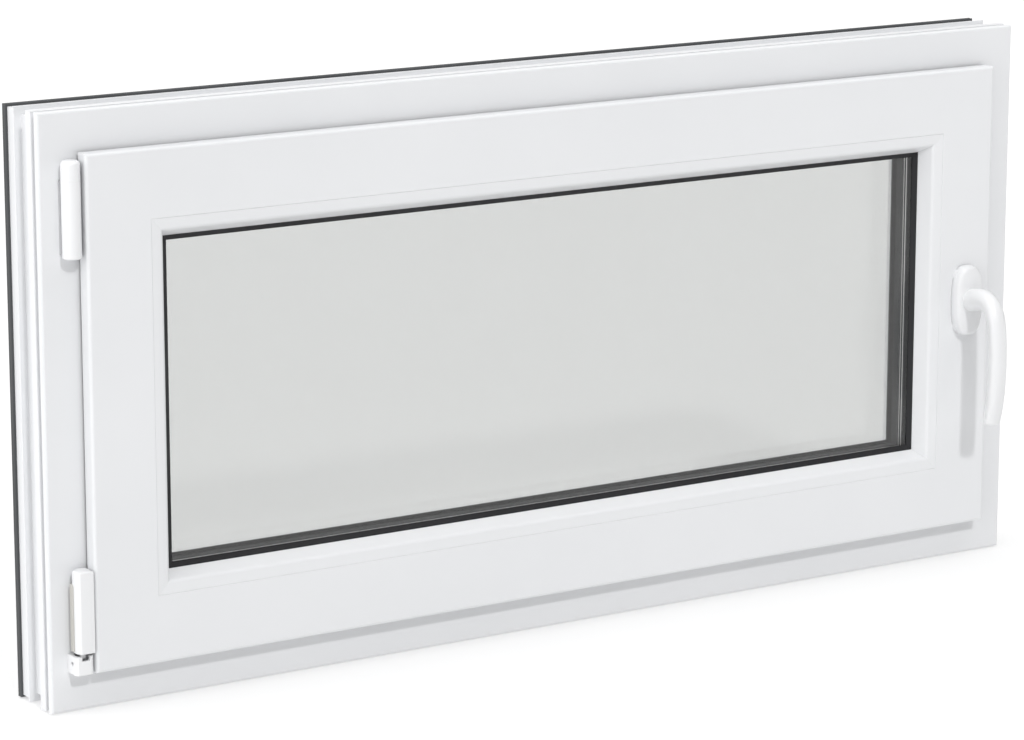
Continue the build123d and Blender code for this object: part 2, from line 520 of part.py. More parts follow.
def cam(side, along):
    tip = BODY_E - CAM_PROUD
    body = rod_in(side, along, GROOVE_C, CAM_R, tip, BAR_E0)
    return body + rod_in(side, along, GROOVE_C, CAM_HEAD_R, tip, tip + 2.5)


def make_gear():
    w, h = FRAME_W / 2, FRAME_H
    screws = {side: [a for name, a in FACE_SCREWS if name == side] for side in ("head", "sill", "lock")}
    cams = {"lock": JAMB_CAMS, "head": (HEAD_CAM,), "sill": SILL_CAMS}
    spans = {"head": (-w + BODY_E + 10, w - CORNER_AT - 0.5), "sill": (-w + BODY_E + 4, w - CORNER_AT - 0.5),
             "lock": (CORNER_AT + 0.5, h - CORNER_AT - 0.5)}
    for side, (low, high) in spans.items():
        slots = [cam_slot(side, along) for along in cams[side]]
        if side == "head":
            slots.append((STAY_SLOT[0], STAY_SLOT[1], 11.0))
        keep("faceplate_" + side, faceplate(side, low, high, screws[side], slots))
    heads = []
    for side, along in FACE_SCREWS:
        heads.append(rod_in(side, along, GROOVE_C, 2.0, PLATE_E0, PLATE_E1 + 0.1)
                     + rod_in(side, along, GROOVE_C, 1.65, PLATE_E1, BODY_E + 11.5))
    keep("faceplate_screws", *heads)
    half = PLATE_W / 2
    drives = []
    for side in ("head", "sill"):
        z0, z1 = (PLATE_E0, CORNER_AT) if side == "sill" else (h - CORNER_AT, h - PLATE_E0)
        drive = at_side(side, w - (PLATE_E0 + CORNER_AT) / 2, PLATE_E0, PLATE_E1, GROOVE_C - half,
                        GROOVE_C + half, CORNER_AT - PLATE_E0)
        drive += box(w - PLATE_E1, w - PLATE_E0, GROOVE_C - half, GROOVE_C + half, z0, z1)
        drive += at_side(side, w - BODY_E - 18, PLATE_E1, BODY_E + GROOVE_DEEP - 0.5, GROOVE_C - 5, GROOVE_C + 5,
                         30)
        z_low, z_high = sorted((z0 if side == "sill" else z1, z0 + 33 if side == "sill" else z1 - 33))
        drive += box(w - BODY_E - GROOVE_DEEP + 0.5, w - PLATE_E1, GROOVE_C - 5, GROOVE_C + 5, z_low + 3,
                     z_high - 3)
        drives.append(drive)
    keep("corner_drives", *drives)
    for side, (low, high) in BARS.items():
        bar = at_side(side, (low + high) / 2, BAR_E0, BAR_E1, GROOVE_C - BAR_W / 2, GROOVE_C + BAR_W / 2, high - low)
        for a in screws[side]:
            if low - TRAVEL < a < high + TRAVEL:
                first, last = (a - TRAVEL - 3, a + 3) if MOVES[side] > 0 else (a - 3, a + TRAVEL + 3)
                bar -= at_side(side, (first + last) / 2, BAR_E0 - 1, BAR_E1 + 1, GROOVE_C - 2.4, GROOVE_C + 2.4,
                               last - first)
        if side == "lock":
            bar += rack()
        keep("lock_bar_" + side, bar)
        keep("lock_cams_" + side, *[cam(side, along) for along in cams[side]])


def rack():
    """The rack's flange, which the pinion drives, and the bridge that carries it on the bar."""
    w = FRAME_W / 2
    low, high = HANDLE_Z - TRAVEL - 7, HANDLE_Z + 7
    face_e = HANDLE_E + PINION_R + RUN
    flange = box(w - face_e - 3, w - face_e, 0.6, CASE_S1 + 3.4, low, high)
    bridge = box(w - face_e - 3, w - BAR_E0, CASE_S1 + 0.6, CASE_S1 + 3.4, low, high)
    return flange + bridge


def make_strikers():
    strikers, screws = [], []
    for side, along in STRIKES:
        lean = FRAME_FACE + STRIKER_T
        middle = along + MOVES[side] * TRAVEL / 2
        body = at_side(side, middle, FRAME_FACE, lean, GROOVE_C - 8, GROOVE_C + 9, TRAVEL + 26)
        body += at_side(side, middle, lean, FRAME_FACE + 8.5, GROOVE_C + CAM_HEAD_R + 1.2, GROOVE_C + 9, TRAVEL + 26)
        body += at_side(side, middle, lean, lean + 0.8, GROOVE_C - 8, GROOVE_C - 5, TRAVEL + 26)
        for shift in (-10, 10):
            spot = rod_in(side, along + shift, GROOVE_C - 3.5, 1.6, FRAME_FACE - 1, lean + 1)
            sink = rod_in(side, along + shift, GROOVE_C - 3.5, 2.6, lean - 1.0, lean + 1)
            body -= spot + sink
            screws.append(rod_in(side, along + shift, GROOVE_C - 3.5, 1.35, FRAME_FACE - 6, lean - 1.0)
                          + rod_in(side, along + shift, GROOVE_C - 3.5, 2.5, lean - 1.0, lean - 0.1))
        strikers.append(body)
    keep("strikers", *strikers)
    keep("striker_screws", *screws)


def make_case():
    w = FRAME_W / 2
    case = box(w - CASE_E1, w - CASE_E0, CASE_S0, CASE_S1, CASE_Z0, CASE_Z1)
    case -= box(w - CASE_E1 + 1.4, w - CASE_E0 + 1, CASE_S0 + 1.4, CASE_S1 + 1, CASE_Z0 + 1.5, CASE_Z1 - 1.5)
    for z in ROSETTE_Z:
        case += rod("y", (HX, z), 4.2, CASE_S0, CASE_S1)
        case -= rod("y", (HX, z), 2.5, CASE_S0 - 1, CASE_S1 + 1)
    case -= rod("y", (HX, HANDLE_Z), SPINDLE * 0.75 + 0.2, CASE_S0 - 1, CASE_S0 + 2)
    keep("gear_case", case)
    square = SPINDLE / 2 + FIT
    pinion = rod("y", (HX, HANDLE_Z), PINION_R, CASE_S0 + 1.7, CASE_S1 - 0.2)
    pinion -= box(HX - square, HX + square, CASE_S0, CASE_S1 + 1, HANDLE_Z - square, HANDLE_Z + square)
    keep("pinion", pinion)


# ---- handle --------------------------------------------------------------------------------------
def make_handle():
    face_s = FRONT - ROSETTE_T
    base = box(HX - ROSETTE_W / 2 + 2, HX + ROSETTE_W / 2 - 2, FRONT - 4, FRONT, HANDLE_Z - ROSETTE_H / 2 + 2,
               HANDLE_Z + ROSETTE_H / 2 - 2)
    base = fillet(base.edges().filter_by(Axis.Y), 9)
    base += rod("y", (HX, HANDLE_Z), 12, face_s, FRONT)
    base -= rod("y", (HX, HANDLE_Z), NECK_R + FIT, face_s - 1, FRONT + 1)
    for z in ROSETTE_Z:
        base -= rod("y", (HX, z), 2.6, FRONT - 5, FRONT + 1)
    keep("rosette_base", base)
    cover = box(HX - ROSETTE_W / 2, HX + ROSETTE_W / 2, face_s, FRONT, HANDLE_Z - ROSETTE_H / 2,
                HANDLE_Z + ROSETTE_H / 2)
    cover = fillet(cover.edges().filter_by(Axis.Y), 11)
    cover = fillet(cover.faces().sort_by(Axis.Y)[0].edges(), 2.5)
    inner = box(HX - ROSETTE_W / 2 + 1.8, HX + ROSETTE_W / 2 - 1.8, face_s + 1.8, FRONT + 1,
                HANDLE_Z - ROSETTE_H / 2 + 1.8, HANDLE_Z + ROSETTE_H / 2 - 1.8)
    cover -= fillet(inner.edges().filter_by(Axis.Y), 9.2)
    cover -= rod("y", (HX, HANDLE_Z), 12 + FIT, face_s - 1, FRONT + 1)
    keep("rosette_cover", cover)
    keep("rosette_screws", *[rod("y", (HX, z), 4.2, FRONT - 6.8, FRONT - 4) + rod("y", (HX, z), 2.45, FRONT - 4, 5)
                             for z in ROSETTE_Z])
    square = SPINDLE / 2
    keep("spindle", box(HX - square, HX + square, face_s - 8, CASE_S1 - 0.4, HANDLE_Z - square, HANDLE_Z + square))
    make_lever(face_s, square)


def make_lever(face_s, square):
    """Side view of the lever: (s ahead of the frame front, height from the spindle), then rounded."""
    outer = [(-50.0, 9.0), (-61.0, 6.0), (-68.5, -6.0), (-72.5, -24.0), (-75.0, -60.0), (-71.5, -88.0),
             (-66.8, -111.0)]
    inner = [(-56.4, -108.5), (-59.8, -85.0), (-62.0, -60.0), (-60.2, -34.0), (-55.5, -18.0), (-48.0, -9.5)]
    start_s = face_s - 5
    points = [(start_s, 9.0)] + outer + inner + [(start_s, -9.5)]
    plan = Plane(origin=(HX, 0, HANDLE_Z), x_dir=(0, 1, 0), z_dir=(1, 0, 0))
    face = make_face(Polyline(*[(y_of(s), v) for s, v in points], close=True))
    rounds = {1: 12, 2: 10, 3: 14, 4: 60, 5: 110, 6: 60, 7: 4, 8: 3.5, 9: 60, 10: 90, 11: 30, 12: 12, 13: 8}
    for number, radius in rounds.items():
        s, v = points[number]
        corner = face.vertices().sort_by_distance(Vector(y_of(s), v, 0))[0]
        face = fillet(corner, radius)
    grip = extrude(plan * face, amount=LEVER_W / 2, both=True)
    sides = [e for e in grip.edges() if abs(abs(e.center().X - HX) - LEVER_W / 2) < 0.01]
    sides = [e for e in sides if e.center().Y < y_of(start_s) - 0.01]
    grip = fillet(sides, 3.6)
    neck = rod("y", (HX, HANDLE_Z), NECK_R, FRONT - 5, start_s)
    lever = grip + neck
    play = square + FIT
    lever -= box(HX - play, HX + play, face_s - 8.5, FRONT + 1, HANDLE_Z - play, HANDLE_Z + play)
    keep("handle_lever", lever)


# ---- build ---------------------------------------------------------------------------------------
make_frame()
make_sash()
make_glazing()
make_lower_hinge()
make_upper_hinge()
make_gear()
make_strikers()
make_case()
make_handle()
os.makedirs("parts", exist_ok=True)
for name, solids in made.items():
    export_step(solids[0] if len(solids) == 1 else Compound(children=solids), f"parts/{name}.step")
    print(name, len(solids), round(sum(solid.volume for solid in solids)))
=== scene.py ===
"""A white tilt-and-turn casement window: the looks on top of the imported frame.

Profiles are swept round the window in (e, s): e is the distance in from the frame's outer edge and
s the depth from the frame's room face towards outdoors, both in millimetres.
"""

import math

import bmesh
import bpy
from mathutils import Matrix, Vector


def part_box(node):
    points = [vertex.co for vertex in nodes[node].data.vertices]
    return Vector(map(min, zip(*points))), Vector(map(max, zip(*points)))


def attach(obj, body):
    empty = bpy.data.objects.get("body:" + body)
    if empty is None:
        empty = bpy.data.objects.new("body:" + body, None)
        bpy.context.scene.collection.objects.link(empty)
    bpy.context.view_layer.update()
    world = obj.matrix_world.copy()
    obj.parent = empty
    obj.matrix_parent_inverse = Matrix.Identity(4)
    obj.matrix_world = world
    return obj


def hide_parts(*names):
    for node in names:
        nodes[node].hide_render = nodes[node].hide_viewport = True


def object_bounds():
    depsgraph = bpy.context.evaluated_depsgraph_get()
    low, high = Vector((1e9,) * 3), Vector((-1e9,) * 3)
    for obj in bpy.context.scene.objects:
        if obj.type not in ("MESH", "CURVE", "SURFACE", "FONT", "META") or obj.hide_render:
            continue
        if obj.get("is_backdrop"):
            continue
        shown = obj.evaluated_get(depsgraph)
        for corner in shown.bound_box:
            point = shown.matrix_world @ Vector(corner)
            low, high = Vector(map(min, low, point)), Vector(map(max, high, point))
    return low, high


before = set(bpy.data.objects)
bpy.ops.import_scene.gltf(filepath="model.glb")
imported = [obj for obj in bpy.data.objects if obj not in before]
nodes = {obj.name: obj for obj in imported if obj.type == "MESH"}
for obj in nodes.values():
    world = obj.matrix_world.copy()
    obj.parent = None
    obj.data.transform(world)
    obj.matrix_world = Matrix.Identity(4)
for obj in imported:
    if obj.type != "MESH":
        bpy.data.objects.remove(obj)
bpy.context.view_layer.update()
MM = 0.001

# ---- anchors taken from the frame ------------------------------------------------------------------
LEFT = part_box("frame_hinge_jamb")[0].x
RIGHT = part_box("frame_lock_jamb")[1].x
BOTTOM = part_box("frame_sill")[0].z
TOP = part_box("frame_head")[1].z
FRONT_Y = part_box("frame_sill")[0].y


def mm_y(s):
    return FRONT_Y + s * MM


def s_of(y):
    return (y - FRONT_Y) / MM


def e_of(x):
    return (x - LEFT) / MM


DEPTH = s_of(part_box("frame_sill")[1].y)
LIP_E = e_of(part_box("frame_hinge_jamb")[1].x)
SASH_E = e_of(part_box("sash_hinge_stile")[0].x)
SIGHT_E = e_of(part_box("sash_hinge_stile")[1].x)
SASH_FRONT = s_of(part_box("sash_sill")[0].y)
SASH_REAR = s_of(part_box("sash_sill")[1].y)
BEAD_E = e_of(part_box("setting_blocks")[0].x)
GLASS_S = s_of(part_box("glass_inner")[0].y)
GLASS_BACK = s_of(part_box("glass_outer")[1].y)

SIDES = {
    "sill": ((0, 0), (1, 0), Vector((0, 0, 1))),
    "lock": ((1, 0), (1, 1), Vector((-1, 0, 0))),
    "head": ((1, 1), (0, 1), Vector((0, 0, -1))),
    "hinge": ((0, 1), (0, 0), Vector((1, 0, 0))),
}


def corner(at, e, s):
    x = LEFT + e * MM if at[0] == 0 else RIGHT - e * MM
    z = BOTTOM + e * MM if at[1] == 0 else TOP - e * MM
    return Vector((x, mm_y(s), z))


# ---- meshes ----------------------------------------------------------------------------------------
def rounded(points, least=0.25, fine=9.0):
    """[(a, b) or (a, b, radius)] round a closed outline -> [(a, b, normal_a, normal_b)], edges rounded."""
    points = [(p[0], p[1], p[2] if len(p) > 2 else least) for p in points]
    area = sum(p[0] * q[1] - q[0] * p[1] for p, q in zip(points, points[1:] + points[:1]))
    if area < 0:
        points = points[::-1]
    out = []
    for k, (a, b, r) in enumerate(points):
        here = Vector((a, b))
        back = Vector(points[k - 1][:2]) - here
        ahead = Vector(points[(k + 1) % len(points)][:2]) - here
        lb, la = back.length, ahead.length
        back, ahead = back / lb, ahead / la
        n0 = Vector((-back.y, back.x))
        n1 = Vector((ahead.y, -ahead.x))
        bend = math.atan2(n0.x * n1.y - n0.y * n1.x, n0.dot(n1))
        if abs(bend) < 0.02:
            out.append((a, b, n0.x, n0.y))
            continue
        half = math.tan(abs(bend) / 2)
        reach = min(r * half, 0.46 * lb, 0.46 * la)
        r = reach / half
        start = here + back * reach
        sign = 1 if bend > 0 else -1
        centre = start - n0 * r * sign
        step_angle = fine if r > 0.9 else 24
        steps = max(2, int(math.ceil(math.degrees(abs(bend)) / step_angle)))
        for i in range(steps + 1):
            t = bend * i / steps
            c, s = math.cos(t), math.sin(t)
            n = Vector((n0.x * c - n0.y * s, n0.x * s + n0.y * c))
            p = centre + n * r * sign
            out.append((p.x, p.y, n.x, n.y))
    return out


def finish_mesh(name, verts, faces, normals=None, uvs=None, materials=()):
    mesh = bpy.data.meshes.new(name)
    mesh.from_pydata([tuple(v) for v in verts], [], faces)
    for m in materials:
        mesh.materials.append(m)
    if uvs is not None:
        layer = mesh.uv_layers.new(name="UVMap")
        for loop in mesh.loops:
            layer.data[loop.index].uv = uvs[loop.vertex_index]
    mesh.validate()
    mesh.update()
    mesh.shade_smooth()
    if normals is not None:
        mesh.normals_split_custom_set_from_vertices([tuple(n) for n in normals])
    obj = bpy.data.objects.new(name, mesh)
    bpy.context.scene.collection.objects.link(obj)
    return obj


def outward(obj):
    """Turn all faces of a closed piece outwards."""
    grid = bmesh.new()
    grid.from_mesh(obj.data)
    bmesh.ops.recalc_face_normals(grid, faces=grid.faces)
    grid.to_mesh(obj.data)
    grid.free()


def swept(name, outline, side, material, trim=0.0):
    """One mitred, closed member: the outline (e, s) between two corners, each end trimmed by trim mm.

    The UVs run along the member and round its outline, in metres, for the extrusion streaks."""
    start, end, inward = SIDES[side]
    run = corner(end, 0, 0) - corner(start, 0, 0)
    along = run.normalized()
    ring = rounded(outline)
    verts, normals, uvs, faces = [], [], [], []
    length = 0.0
    previous = None
    for a, b, na, nb in ring:
        p, q = corner(start, a, b) + along * trim * MM, corner(end, a, b) - along * trim * MM
        n = inward * na + Vector((0, nb, 0))
        if previous is not None:
            length += math.hypot(a - previous[0], b - previous[1]) * MM
        previous = (a, b)
        for point in (p, q):
            verts.append(point)
            normals.append(n)
            uvs.append((point.dot(along), length))
    count = len(ring)
    for k in range(count):
        m = (k + 1) % count
        faces.append((2 * k, 2 * m, 2 * m + 1, 2 * k + 1))
    faces.append(tuple(2 * k for k in range(count))[::-1])
    faces.append(tuple(2 * k + 1 for k in range(count)))
    obj = finish_mesh(name, verts, faces, None, uvs, [material])
    outward(obj)
    corner_normals = [None] * len(obj.data.loops)
    for face in obj.data.polygons:
        is_cap = face.loop_total > 4
        for loop in face.loop_indices:
            around = normals[obj.data.loops[loop].vertex_index]
            corner_normals[loop] = tuple(face.normal if is_cap else around)
    obj.data.normals_split_custom_set(corner_normals)
    return obj


def swept_all(names, outline, body, material, stands_for=None, trim=0.0):
    for side in SIDES:
        obj = swept(names[side], outline, side, material, trim)
        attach(obj, body)
        if stands_for:
            node = stands_for[side] if isinstance(stands_for, dict) else stands_for
            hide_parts(node)


def lofted(name, rings, material):
    """Rings of points, each of the same count, skinned in order; ends closed with a fan."""
    verts, faces = [], []
    count = len(rings[0])
    for ring in rings:
        verts.extend(ring)
    for k in range(len(rings) - 1):
        for i in range(count):
            j = (i + 1) % count
            faces.append((k * count + i, k * count + j, (k + 1) * count + j, (k + 1) * count + i))
    for ring, first, flip in ((rings[0], 0, True), (rings[-1], (len(rings) - 1) * count, False)):
        hub = len(verts)
        verts.append(sum((Vector(p) for p in ring), Vector()) / count)
        for i in range(count):
            j = (i + 1) % count
            faces.append((hub, first + j, first + i) if flip else (hub, first + i, first + j))
    obj = finish_mesh(name, verts, faces, None, None, [material])
    outward(obj)
    obj.data.shade_smooth()
    return obj


def superellipse(count, a, b, power):
    """Points round a superellipse with half axes a and b; power 2 is an ellipse, more is squarer."""
    out = []
    for i in range(count):
        t = 2 * math.pi * i / count
        c, s = math.cos(t), math.sin(t)
        out.append((a * math.copysign(abs(c) ** (2 / power), c),
                    b * math.copysign(abs(s) ** (2 / power), s)))
    return out


def prism(name, outline, z0, z1, edge, material, bottom_edge=None):
    """A plan outline of (x, y) in metres raised from z0 to z1, its top and bottom edges rounded by edge."""
    bottom_edge = edge if bottom_edge is None else bottom_edge
    ring = rounded([tuple(q / MM for q in p) for p in outline], least=0.4, fine=7)

    def at(inset, z):
        return [Vector(((a - na * inset) * MM, (b - nb * inset) * MM, z)) for a, b, na, nb in ring]

    rings = []
    steps = 6
    for i in range(steps + 1):
        t = math.pi / 2 * i / steps
        rings.append(at(bottom_edge * (1 - math.sin(t)), z0 + bottom_edge * MM * (1 - math.cos(t))))
    for i in range(steps + 1):
        t = math.pi / 2 * i / steps
        rings.append(at(edge * (1 - math.cos(t)), z1 - edge * MM * (1 - math.sin(t))))
    obj = lofted(name, rings, material)
    obj.data.set_sharp_from_angle(angle=math.radians(42))
    return obj


# ---- materials -------------------------------------------------------------------------------------
def new_material(name):
    mat = bpy.data.materials.new(name)
    mat.use_nodes = True
    tree = mat.node_tree
    shader = next(n for n in tree.nodes if n.type == "BSDF_PRINCIPLED")
    return mat, tree, shader


def noise(tree, vector, scale, detail=2.0, stretch=None):
    if stretch:
        mapping = tree.nodes.new("ShaderNodeMapping")
        mapping.inputs["Scale"].default_value = stretch
        tree.links.new(vector, mapping.inputs["Vector"])
        vector = mapping.outputs["Vector"]
    tex = tree.nodes.new("ShaderNodeTexNoise")
    tex.inputs["Scale"].default_value = scale
    tex.inputs["Detail"].default_value = detail
    tex.inputs["Roughness"].default_value = 0.5
    tree.links.new(vector, tex.inputs["Vector"])
    return tex.outputs["Fac"]


def ramp(tree, value, low, high):
    """Colour from low to high over the middle of the value's range."""
    node = tree.nodes.new("ShaderNodeValToRGB")
    node.color_ramp.elements[0].position = 0.3
    node.color_ramp.elements[1].position = 0.7
    node.color_ramp.elements[0].color = (*low, 1)
    node.color_ramp.elements[1].color = (*high, 1)
    tree.links.new(value, node.inputs["Fac"])
    return node.outputs["Color"]


def spread(tree, value, low, high):
    """Number from low to high over the middle of the value's range."""
    node = tree.nodes.new("ShaderNodeMapRange")
    node.inputs["From Min"].default_value = 0.25
    node.inputs["From Max"].default_value = 0.75
    node.inputs["To Min"].default_value = low
    node.inputs["To Max"].default_value = high
    tree.links.new(value, node.inputs["Value"])
    return node.outputs["Result"]


def bump(tree, value, distance, strength=1.0, under=None):
    node = tree.nodes.new("ShaderNodeBump")
    node.inputs["Strength"].default_value = strength
    node.inputs["Distance"].default_value = distance
    tree.links.new(value, node.inputs["Height"])
    if under is not None:
        tree.links.new(under, node.inputs["Normal"])
    return node.outputs["Normal"]


def plastic(name, dark, light, rough, streaks=False, grain=(900, 0.00002), specular=0.5,
            rounded_edges=0.0):
    """Moulded or extruded plastic: faint tone variation, uneven gloss and a fine surface."""
    mat, tree, shader = new_material(name)
    coords = tree.nodes.new("ShaderNodeTexCoord")
    place = coords.outputs["Object"]
    tone = noise(tree, place, 9.0, 3)
    tree.links.new(ramp(tree, tone, dark, light), shader.inputs["Base Color"])
    fine = noise(tree, place, grain[0], 3)
    tree.links.new(spread(tree, noise(tree, place, 22, 2), rough[0], rough[1]), shader.inputs["Roughness"])
    normal = None
    if rounded_edges:
        edge = tree.nodes.new("ShaderNodeBevel")
        edge.samples = 4
        edge.inputs["Radius"].default_value = rounded_edges
        normal = edge.outputs["Normal"]
    normal = bump(tree, fine, grain[1], 0.6, normal)
    if streaks:
        lines = noise(tree, coords.outputs["UV"], 1.0, 2, (2.5, 1500, 1))
        normal = bump(tree, lines, 0.00001, 0.5, normal)
        waves = noise(tree, coords.outputs["UV"], 1.0, 1, (1.5, 90, 1))
        normal = bump(tree, waves, 0.00002, 0.5, normal)
    tree.links.new(normal, shader.inputs["Normal"])
    shader.inputs["Specular IOR Level"].default_value = specular
    return mat


def metal(name, dark, light, rough, scale=420):
    """Plated or drawn steel: uneven tone and gloss, a fine grain and softened edges."""
    mat, tree, shader = new_material(name)
    coords = tree.nodes.new("ShaderNodeTexCoord")
    place = coords.outputs["Object"]
    tree.links.new(ramp(tree, noise(tree, place, 35, 4), dark, light), shader.inputs["Base Color"])
    shader.inputs["Metallic"].default_value = 1.0
    grain = noise(tree, place, scale, 3)
    tree.links.new(spread(tree, grain, rough[0], rough[1]), shader.inputs["Roughness"])
    edge = tree.nodes.new("ShaderNodeBevel")
    edge.samples = 4
    edge.inputs["Radius"].default_value = 0.0004
    tree.links.new(bump(tree, grain, 0.00003, 0.5, edge.outputs["Normal"]), shader.inputs["Normal"])
    return mat


# Darkest and lightest tone of each finish, then its least and most roughness.
WHITE_LOW, WHITE_HIGH = (0.738, 0.746, 0.760), (0.755, 0.762, 0.776)
PVC = plastic("pvc_white", WHITE_LOW, WHITE_HIGH, (0.30, 0.335), streaks=True)
BEAD = plastic("pvc_white_bead", (0.742, 0.750, 0.763), (0.753, 0.760, 0.774), (0.31, 0.335),
               streaks=True)
HINGE_WHITE = plastic("hinge_white", (0.785, 0.79, 0.80), (0.80, 0.805, 0.815), (0.30, 0.36),
                      grain=(1500, 0.000015))
HINGE_BLOCK = plastic("hinge_block", (0.80, 0.804, 0.812), (0.82, 0.824, 0.832), (0.3, 0.4),
                      rounded_edges=0.0006)
# Painted shade: the rear part of the lower hinge cover is coloured dark beige-grey to stand for the shade
# it lies in behind the cover.
HINGE_PAINTED_SHADE = plastic("hinge_back_painted_shade", (0.47, 0.46, 0.43), (0.52, 0.51, 0.48), (0.4, 0.5),
                      rounded_edges=0.0003)
HANDLE = plastic("handle_white", (0.76, 0.766, 0.776), (0.78, 0.785, 0.794), (0.30, 0.38),
                 grain=(1900, 0.000014))
ROSETTE = plastic("rosette_plastic", (0.76, 0.766, 0.778), (0.78, 0.785, 0.796), (0.30, 0.40),
                  grain=(1400, 0.00002))
RUBBER = plastic("black_gasket", (0.011, 0.011, 0.0125), (0.019, 0.019, 0.021), (0.5, 0.66),
                 grain=(1300, 0.00004), specular=0.35)
SEAL = plastic("grey_seal", (0.055, 0.058, 0.061), (0.078, 0.081, 0.085), (0.6, 0.75),
               grain=(1100, 0.00005), specular=0.3)
# Black edge sealant; the same finish is painted shade in the drain hoods' slots.
SEALANT_AND_SLOT_SHADE = plastic("edge_sealant", (0.012, 0.012, 0.013), (0.022, 0.022, 0.024), (0.35, 0.55),
                  grain=(500, 0.0001))
BLOCK = plastic("block_plastic", (0.04, 0.07, 0.16), (0.05, 0.085, 0.19), (0.45, 0.6),
                rounded_edges=0.0004)
CAP = plastic("drain_cap_white", WHITE_LOW, WHITE_HIGH, (0.32, 0.42), rounded_edges=0.0005)
ZINC = metal("zinc_steel", (0.56, 0.565, 0.575), (0.70, 0.70, 0.71), (0.28, 0.44))
GALVANISED = metal("reinforcing_steel", (0.42, 0.43, 0.45), (0.60, 0.61, 0.63), (0.36, 0.58), scale=90)
DARK_STEEL = metal("case_steel", (0.30, 0.305, 0.31), (0.40, 0.405, 0.41), (0.34, 0.5))


def perforated():
    """Warm-edge spacer bar: dark satin face with a regular grid of fine pits."""
    mat, tree, shader = new_material("spacer_dark")
    shader.inputs["Specular IOR Level"].default_value = 0.18
    coords = tree.nodes.new("ShaderNodeTexCoord")
    place = coords.outputs["Object"]
    tone = noise(tree, place, 30, 3)
    tree.links.new(ramp(tree, tone, (0.012, 0.0125, 0.0135), (0.022, 0.023, 0.0245)),
                   shader.inputs["Base Color"])
    cells = tree.nodes.new("ShaderNodeTexVoronoi")
    cells.inputs["Scale"].default_value = 420
    cells.inputs["Randomness"].default_value = 0.0
    tree.links.new(place, cells.inputs["Vector"])
    tree.links.new(bump(tree, cells.outputs["Distance"], 0.0003, 0.5), shader.inputs["Normal"])
    tree.links.new(spread(tree, noise(tree, place, 200, 2), 0.34, 0.5), shader.inputs["Roughness"])
    return mat


SPACER = perforated()
FOIL = metal("spacer_foil", (0.80, 0.80, 0.79), (0.86, 0.86, 0.85), (0.30, 0.42))


def glass_material():
    """Float glass with a faint green-grey tint and a very slight waviness."""
    mat, tree, shader = new_material("glass")
    coords = tree.nodes.new("ShaderNodeTexCoord")
    place = coords.outputs["Object"]
    shader.inputs["Transmission Weight"].default_value = 1.0
    shader.inputs["IOR"].default_value = 1.5
    shader.inputs["Specular IOR Level"].default_value = 0.32
    tree.links.new(ramp(tree, noise(tree, place, 2.0, 1), *GLASS_TINT), shader.inputs["Base Color"])
    tree.links.new(spread(tree, noise(tree, place, 14, 2), 0.0, 0.004), shader.inputs["Roughness"])
    tree.links.new(bump(tree, noise(tree, place, 3.5, 1), 0.00005, 0.25), shader.inputs["Normal"])
    return mat


GLASS_TINT = ((0.841, 0.845, 0.842), (0.845, 0.849, 0.846))
GLASS = glass_material()

# ---- profiles swept round the window ---------------------------------------------------------------
# Outlines are points (e, s) or (e, s, edge radius), in mm.
FRAME_FACE = 42                 # e of the frame's rebate
LIP_S = DEPTH - 12              # s of the frame's outdoor lip
REAR_BACK = 0.5                 # the frame's rear face lies behind the seal and the drain hoods
SEAL_IN = 2.2                   # thickness of the perimeter seal
RIB_S0, RIB_S1 = 11.7, 20.9     # bearing rib round the frame
FIN_S0, FIN_S1 = 42, 43.8       # fin between the groove and the seal
CLIP_S = 5.9                    # front of the clip groove
CLIP_IN, GROOVE_IN = 5, 7       # depths of the clip groove and of the groove behind the rib
frame_outline = [
    (0, 0, 4), (FRAME_FACE, 0, 1.2), (FRAME_FACE, LIP_S - 2, 0.8), (FRAME_FACE + 2, LIP_S, 0.8),
    (LIP_E, LIP_S, 1.5), (LIP_E, DEPTH - REAR_BACK, 1.5), (SEAL_IN, DEPTH - REAR_BACK, 0.3),
    (SEAL_IN, FIN_S1, 0.3), (0, FIN_S1, 0.5), (0, FIN_S0, 0.4), (GROOVE_IN, FIN_S0, 0.5),
    (GROOVE_IN, RIB_S1, 0.5), (0, RIB_S1, 0.6), (0, RIB_S0, 0.6), (CLIP_IN, RIB_S0, 0.5),
    (CLIP_IN, CLIP_S, 0.5), (0, CLIP_S, 0.8),
]
BODY_E = 54                     # outer face of the sash body
LIP_BACK = -3                   # s of the back of the sash's lip over the frame
GLAZING_LIP_S = 41              # room-side face of the glazing lip
SLOPE = 5.5                     # the glazing lip's sight edge slopes back by this
STEP_E, STEP_S = 68, 47         # rear step round the sash
PLATE_IN, GROOVE_FLOOR = 57, 63  # e of the faceplate's seat and of the hardware groove's floor
CLIP_E, CLIP_FRONT, CLIP_REAR = 89, -8, -5.5  # notch that the bead clips into
sash_outline = [
    (SASH_E, SASH_FRONT, 3), (BEAD_E, SASH_FRONT, 0.5), (BEAD_E, CLIP_FRONT), (CLIP_E, CLIP_FRONT),
    (CLIP_E, CLIP_REAR), (BEAD_E, CLIP_REAR), (BEAD_E, GLAZING_LIP_S, 0.6), (SIGHT_E, GLAZING_LIP_S, 0.8),
    (SIGHT_E - SLOPE, SASH_REAR, 1.5), (STEP_E, SASH_REAR, 1.5), (STEP_E, STEP_S, 0.8),
    (BODY_E, STEP_S, 0.8), (BODY_E, 23.1, 0.3), (PLATE_IN, 23.1, 0.3), (PLATE_IN, 21, 0.3),
    (GROOVE_FLOOR, 21, 0.3), (GROOVE_FLOOR, 9, 0.3), (PLATE_IN, 9, 0.3), (PLATE_IN, 6.9, 0.3),
    (BODY_E, 6.9, 0.3), (BODY_E, LIP_BACK, 0.8), (SASH_E, LIP_BACK, 0.6),
]
bead_outline = [
    (92.03, -16.85, 0.35), (102.4, -15.7, 4.6), (109.7, -1.6, 0.5), (92, -1.6, 0.3), (92, -5.8, 0.2),
    (89.4, -5.8, 0.2), (89.4, -7.8, 0.2), (92.03, -7.8, 0.2),
]
